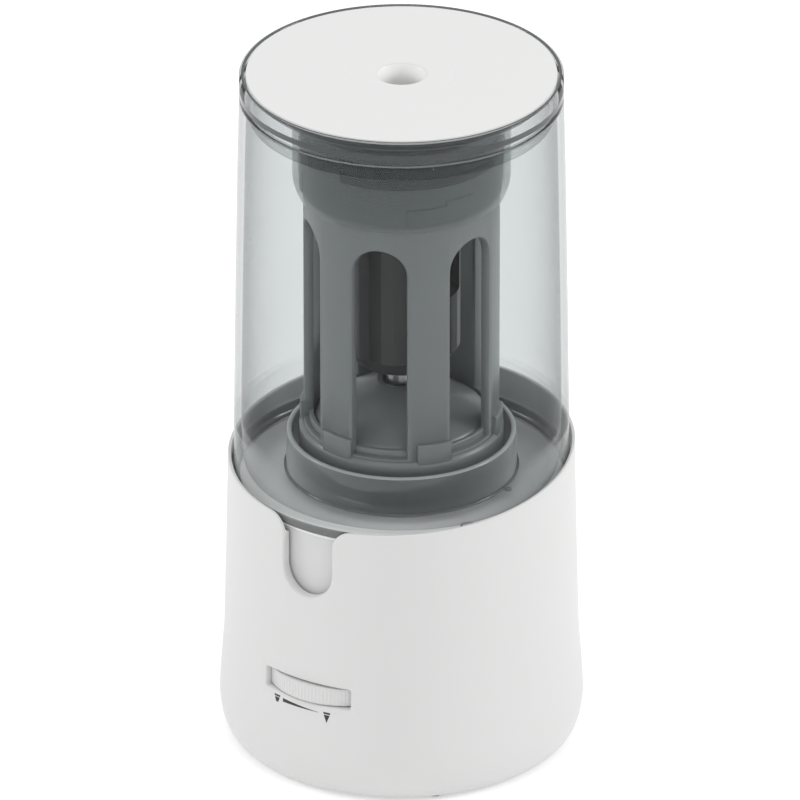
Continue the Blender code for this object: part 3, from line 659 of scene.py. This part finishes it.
def makeShell():
    half = shell["notchHalf"]
    turnIn = shell["shoulder"]
    notch = arcPoints(half, (0.0, shell["notchBottom"] + half), -90.0, 0.0, 12)
    shoulderX = half + turnIn
    top = slantAt(shoulderX)
    notch += arcPoints(turnIn, (shoulderX, top - turnIn), 180.0, 92.0, 10)
    end = math.pi * shell["girth"] + shell["overlap"]
    steps = shell["edgeSteps"]
    edge = [(shoulderX + (end - shoulderX) * i / steps) for i in range(1, steps + 1)]
    right = notch + [(x, slantAt(x)) for x in edge]
    outline = right + [(end, shell["footZ"]), (-end, shell["footZ"])]
    outline += [(-x, y) for x, y in reversed(right[1:])]
    slotCorners = [(-shell["slotHalf"], shell["slotLow"]), (shell["slotHalf"], shell["slotLow"]),
                   (shell["slotHalf"], shell["slotHigh"]), (-shell["slotHalf"], shell["slotHigh"])]
    slot = [tuple(p) for p in softened(slotCorners, shell["slotRounding"], 3)]
    plate = flatPlate("baseShell", [outline, slot], shell["thickness"], shell["edge"], 3)
    wrapRound(plate, shell["girth"], shell["thickness"], shellRadius(), alongProfile(shell["bore"]),
              shell["levels"], shell["every"])
    settle(plate, "baseShell", 40.0)
    return dress(plate, finishes["shell"], "base", "white_shell", "outer_shell")


marks = {
    "low": 17.8, "thickness": 0.06, "proud": 0.04, "sunk": 0.05,
    "bluntX": -7.0, "bluntY": 2.9, "sharpX": 5.5, "sharpY": 2.3,
    "cap": [(-0.72, 0.0), (-0.8, 0.42), (0.8, 0.42), (0.72, 0.0)],
    "blunt": [(-0.66, -0.2), (0.66, -0.2), (0.3, -1.25), (-0.3, -1.25)],
    "sharp": [(-0.66, -0.2), (0.66, -0.2), (0.0, -2.0)],
    "wedge": [(-5.4, 2.2), (-5.4, 3.0), (3.7, 2.35)],
}


def makeMarks():
    # the blunt point, the wedge and the sharp point printed under the wheel
    radiusAt = shellRadius()
    shapes = {
        "bluntCap": moved(marks["cap"], marks["bluntX"], marks["bluntY"]),
        "bluntPoint": moved(marks["blunt"], marks["bluntX"], marks["bluntY"]),
        "sharpCap": moved(marks["cap"], marks["sharpX"], marks["sharpY"]),
        "sharpPoint": moved(marks["sharp"], marks["sharpX"], marks["sharpY"]),
        "wedgeMark": marks["wedge"],
    }
    for name, outline in shapes.items():
        plate = flatPlate(name, [moved(outline, 0.0, marks["low"])], marks["thickness"], 0.01, 1)
        wrapRound(plate, shell["girth"], marks["thickness"], lambda z: radiusAt(z) + marks["proud"],
                  lambda z: radiusAt(z) - marks["sunk"], [], 1.5, False)
        settle(plate, name)
        dress(plate, finishes["ink"], "base", "dark_plastic")


drum = {
    "outline": [(34.8, 60.6, 0.6), (34.8, 3.4), (33.2, 3.4), (33.2, 59.2), (7.1, 59.2),
                (7.1, 60.6)],
    "sides": 160,
    "roomRadius": 17.9, "roomDepth": 5.8, "roomZ": 24.2,      # where the wheel turns
    "pinRadius": 1.6, "pinDepth": 10.0, "pinZ": 60.0,         # where the interlock pin comes up
}


def roundTool(sides, radius, depth, x, y, z):
    # an upright cylinder to cut with or to shape
    bpy.ops.mesh.primitive_cylinder_add(vertices=sides, radius=radius * mm, depth=depth * mm,
                                        location=(x, y, z * mm))
    return bpy.context.active_object


def makeDrum():
    piece = turnRings("drumSkin", drum["outline"], drum["sides"])
    cutWith(piece, roundTool(96, drum["roomRadius"], drum["roomDepth"], 0.0, wheel["y"] * mm,
                             drum["roomZ"]))
    low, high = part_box("interlock_pin")
    middle = (low + high) / 2
    cutWith(piece, roundTool(32, drum["pinRadius"], drum["pinDepth"], middle.x, middle.y,
                             drum["pinZ"]))
    settle(piece, "drumSkin")
    return dress(piece, finishes["deck"], "base", "white_inner", "inner_drum")


wheel = {
    "y": -21.4, "radius": 17.3, "low": 22.1, "high": 26.2, "bevel": 0.25,
    "ribs": 130, "ribInset": 0.06, "ribDepth": 0.07,
    "ramp": [(14.0, 27.2, 0.2), (14.0, 25.9), (9.0, 25.9), (9.0, 27.2, 0.2)],
    "rampFrom": 26.3, "rampLift": 0.2, "rampRise": 0.9,
}


def makeWheel():
    deselectAll()
    depth = wheel["high"] - wheel["low"]
    steps = wheel["ribs"] * 2
    piece = roundTool(steps, wheel["radius"], depth, 0.0, wheel["y"] * mm, wheel["low"] + depth / 2)
    applyModifier(piece, "BEVEL", width=wheel["bevel"] * mm, segments=2, limit_method="ANGLE",
                  angle_limit=math.radians(60.0))
    for face in piece.data.polygons:
        angle = math.degrees(math.atan2(face.normal.y, face.normal.x)) % 360.0
        side = abs(face.normal.z) < 0.1
        face.select = side and int(angle / 360.0 * steps) % 2 == 0
    bpy.ops.object.mode_set(mode="EDIT")
    bpy.ops.mesh.select_mode(type="FACE")
    bpy.ops.mesh.inset(thickness=wheel["ribInset"] * mm, depth=-wheel["ribDepth"] * mm,
                       use_individual=True)
    bpy.ops.object.mode_set(mode="OBJECT")
    settle(piece, "ribbedWheel", 30.0)

    # the ramp ring that lifts the depth stop, under the drum
    ramp = turnRings("wheelRampCopy", wheel["ramp"], 64)
    for vertex in ramp.data.vertices:
        vertex.co.y += wheel["y"] * mm
        if vertex.co.z > wheel["rampFrom"] * mm:
            angle = math.atan2(vertex.co.y - wheel["y"] * mm, vertex.co.x) - math.pi / 2
            vertex.co.z += (wheel["rampLift"] - wheel["rampRise"] * math.sin(angle)) * mm
    joined = joinPieces("ribbedWheel", [piece, ramp])
    return dress(joined, finishes["whiteShell"], "wheel", "white_shell", "thumb_wheel")


# the bin and the lid

binCup = {
    "outside": [(34.4, 148.8, 0.4), (34.8, 135.0, 4.0), (35.4, 105.0, 6.0), (35.8, 80.0, 6.0),
                (36.0, 61.6, 0.5), (35.4, 61.0, 0.3)],
    "collar": [(23.4, 61.0, 0.3), (23.4, 71.2, 0.55), (24.6, 71.2, 0.55), (24.7, 62.4, 0.8)],
    "inside": [(31.4, 62.4, 1.6), (33.6, 63.6, 1.0), (34.25, 67.6, 2.0), (34.2, 80.0, 5.0),
               (33.8, 105.0, 6.0), (33.2, 135.0, 4.0), (32.8, 148.8, 0.4)],
    "sides": 192,
    "nub": [(0.2, 63.0, 0.1), (0.7, 63.0, 0.2), (0.8, 62.45, 0.1), (0.2, 62.45, 0.1)],
    "nubAt": (26.0, 1.7),
}


def makeBin():
    outline = binCup["outside"] + binCup["collar"] + binCup["inside"]
    piece = turnRings("smokyBin", outline, binCup["sides"], 0.3, 5)
    dress(piece, finishes["smoky"], "bin", "smoky_clear", "shavings_bin")
    nub = turnRings("floorNub", binCup["nub"], 24)
    x, y = binCup["nubAt"]
    nub.data.transform(Matrix.Translation((x * mm, y * mm, 0.0)))
    dress(nub, finishes["grayCage"], "bin", "smoky_clear")


lid = {
    "rim": [(33.3, 155.0, 0.35), (34.4, 155.0, 0.6), (34.4, 149.1, 0.5), (32.4, 149.1, 0.3),
            (32.4, 145.4, 0.5), (31.2, 145.4, 0.4), (31.2, 152.0, 0.5), (23.2, 152.0, 0.4),
            (23.2, 130.6, 2.2), (22.0, 127.6, 0.6), (21.9, 129.5, 0.8), (21.9, 152.0, 0.3),
            (7.0, 152.0, 0.2), (7.0, 153.7, 0.2), (33.3, 153.7, 0.3)],
    "disc": [(5.35, 155.0, 0.7), (11.2, 155.0, 0.05), (11.4, 154.95, 0.05), (11.6, 155.0, 0.05),
             (32.95, 155.0, 0.25), (32.95, 154.0, 0.25), (6.6, 154.0, 0.3),
             (6.6, 147.2, 0.5), (4.2, 147.2, 0.5), (4.2, 152.3, 1.2)],
    "sides": 192,
}


def makeLid():
    rim = turnRings("lidRim", lid["rim"], lid["sides"], 0.3, 5)
    dress(rim, finishes["smokyLid"], "lid", "smoky_clear", "lid_rim")
    disc = turnRings("whiteDisc", lid["disc"], lid["sides"], 0.3, 6)
    dress(disc, finishes["disc"], "lid", "white_shell", "top_disc")


# the cage

cage = {
    "radius": 20.9, "wall": 2.2, "girth": 20.9, "low": 72.0, "high": 130.2,
    "windows": 6, "windowHalf": 6.1, "sill": 73.9, "top": 122.8, "turn": 19.5, "edge": 0.55,
    "sillRing": [(18.75, 75.4, 0.2), (19.7, 75.4, 0.4), (19.7, 73.0, 0.2), (18.75, 73.0, 0.2)],
    "overlap": 1.5, "every": 4.0, "sides": 128, "capSides": 96,
    "block": [(-4.0, 72.2), (4.0, 72.2), (4.0, 77.3), (-4.0, 77.3)],
    "blockThickness": 2.2, "blockEdge": 0.45, "blockTurn": 3.0, "blockOut": 21.75,
    "foot": [(18.7, 73.4, 0.2), (21.2, 73.4, 0.5), (21.9, 72.6, 0.4), (21.9, 60.9, 0.3),
             (18.7, 60.9, 0.3)],
    "head": [(18.7, 143.0, 0.2), (21.5, 143.0, 0.3), (21.5, 129.4, 0.8), (20.8, 126.6, 0.6),
             (18.8, 126.6, 0.3)],
    "cap": [(9.0, 146.0, 0.4), (21.5, 146.0, 0.8), (21.5, 143.3, 0.2), (18.4, 143.3, 0.2),
            (18.4, 141.6, 0.2), (9.0, 141.6, 0.2)],
}
pads = {
    "outline": [(-7.9, 129.4), (7.9, 129.4), (7.9, 134.3), (1.0, 134.3), (1.0, 133.2),
                (-7.9, 133.2)],
    "count": 3, "thickness": 1.0, "edge": 0.15, "outer": 21.85, "turn": 56.4,
}
# painted shade: outline of the dark sheet that stands for the shadowed gap round the head's front
band = {
    "outline": [(-19.0, 137.7), (19.5, 137.7), (19.5, 139.2), (15.0, 140.1), (-19.0, 140.1)],
    "thickness": 0.6, "edge": 0.1, "outer": 21.62, "turn": 46.4,
}


def windowOutline(centre):
    half = cage["windowHalf"]
    arch = arcPoints(half, (centre, cage["top"] - half), 0.0, 180.0, 20)
    return arch + [(centre - half, cage["sill"]), (centre + half, cage["sill"])]


def wrappedPatch(name, outline, thickness, edge, outer):
    # a raised patch on a round wall, from an outline round the front, in millimetres
    plate = flatPlate(name, [outline], thickness, edge, 2)
    wrapRound(plate, outer, thickness, lambda z: outer, lambda z: outer - thickness, [], 3.0, False)
    return settle(plate, name)


def turned(piece, degrees):
    piece.data.transform(Matrix.Rotation(math.radians(degrees), 4, "Z"))
    return piece


def makeBlocks():
    # a block at the foot of each pillar
    block = wrappedPatch("pillarFoot", cage["block"], cage["blockThickness"], cage["blockEdge"],
                         cage["blockOut"])
    made = [block]
    for i in range(1, cage["windows"]):
        twin = block.copy()
        twin.data = block.data.copy()
        bpy.context.scene.collection.objects.link(twin)
        made.append(twin)
    spacing = 360.0 / cage["windows"]
    for i, piece in enumerate(made):
        turned(piece, cage["turn"] + cage["blockTurn"] + spacing * (i + 0.5))
    return made


def makePads():
    made = []
    for i in range(pads["count"]):
        pad = wrappedPatch("bayonetPad", pads["outline"], pads["thickness"], pads["edge"],
                           pads["outer"])
        made.append(turned(pad, pads["turn"] + 360.0 / pads["count"] * i))
    return made


def makeShadeBand():
    # painted shade: a thin dark sheet round the front of the head, where the gap above the head
    # lies in shadow
    piece = wrappedPatch("headShadeBand", band["outline"], band["thickness"], band["edge"],
                         band["outer"])
    turned(piece, band["turn"])
    dress(piece, finishes["darkRotor"], "base", "gray_plastic")


def makeCage():
    girth = cage["girth"]
    inner = cage["radius"] - cage["wall"]
    sides = cage["sides"]
    end = math.pi * girth + cage["overlap"]
    outline = [(-end, cage["low"]), (end, cage["low"]), (end, cage["high"]), (-end, cage["high"])]
    spacing = 2 * math.pi * girth / cage["windows"]
    first = math.radians(cage["turn"]) * girth
    holes = [windowOutline(first + spacing * (i - 3)) for i in range(cage["windows"])]
    plate = flatPlate("cageWall", [outline] + holes, cage["wall"], cage["edge"], 1)
    wrapRound(plate, girth, cage["wall"], lambda z: cage["radius"], lambda z: inner, [],
              cage["every"])
    foot = turnRings("cageFoot", cage["foot"], sides)
    head = turnRings("cageHead", cage["head"], sides)
    ring = turnRings("sillRing", cage["sillRing"], sides)
    joined = joinPieces("windowCage", [plate, foot, head, ring] + makeBlocks() + makePads())
    dress(joined, finishes["grayCage"], "base", "gray_plastic", "cage")
    cap = turnRings("cageCap", cage["cap"], cage["capSides"])
    dress(cap, finishes["grayCage"], "base", "gray_plastic", "head_cap")


cone = {
    "outline": [(4.2, 83.0, 0.3), (5.2, 83.0, 0.4), (18.4, 75.0, 1.0), (18.4, 72.5, 0.3),
                (4.2, 72.5, 0.3)],
    "sides": 96,
}


def makeCone():
    # the cone under the cutter, which throws the shavings out
    piece = turnRings("shavingsCone", cone["outline"], cone["sides"])
    dress(piece, finishes["grayCage"], "base", "gray_plastic", "cage_floor")


# everything is made here, in order

finishes = {name: plastic(name) for name in plastics}
finishes.update({name: metal(name) for name in metals})
finishes["smoky"] = smokyClear("smokyClear", binZones)
finishes["smokyLid"] = smokyClear("smokyLid", lidZones)
finishes["cell"] = cellJacket("cellJacket")
finishes["ink"] = printedInk("printedInk")
for key, name in (("deck", "whiteDeck"), ("shell", "shellWhite"), ("disc", "discWhite")):
    finishes[key] = zonedWhite(name)
slotFinish = {
    "white_shell": "whiteShell", "white_inner": "whiteInner", "smoky_clear": "smoky",
    "gray_plastic": "grayCage", "dark_plastic": "darkRotor", "steel": "plainSteel",
    "brass": "turnedBrass", "nylon": "nylonGear", "rubber": "blackRubber", "cell_jacket": "cell",
}
nodeFinish = {"cutter_roller": "cutterSteel", "cutter_pinion": "cutterSteel",
              "interlock_pin": "whiteInner"}
for entry in frame["record"]["subparts"]:
    node = frame["nodes"][entry["node"]]
    node.data.materials.clear()
    chosen = nodeFinish.get(entry["node"], slotFinish[entry["material_slot"]])
    node.data.materials.append(finishes[chosen])
print("finishes made:", len(finishes))

makeStudio()
makeShell()
print("shell done")
makeMarks()
makeDrum()
makeWheel()
print("base done")
makeBin()
makeLid()
print("bin and lid done")
makeCage()
makeShadeBand()
makeCone()
print("cage done")
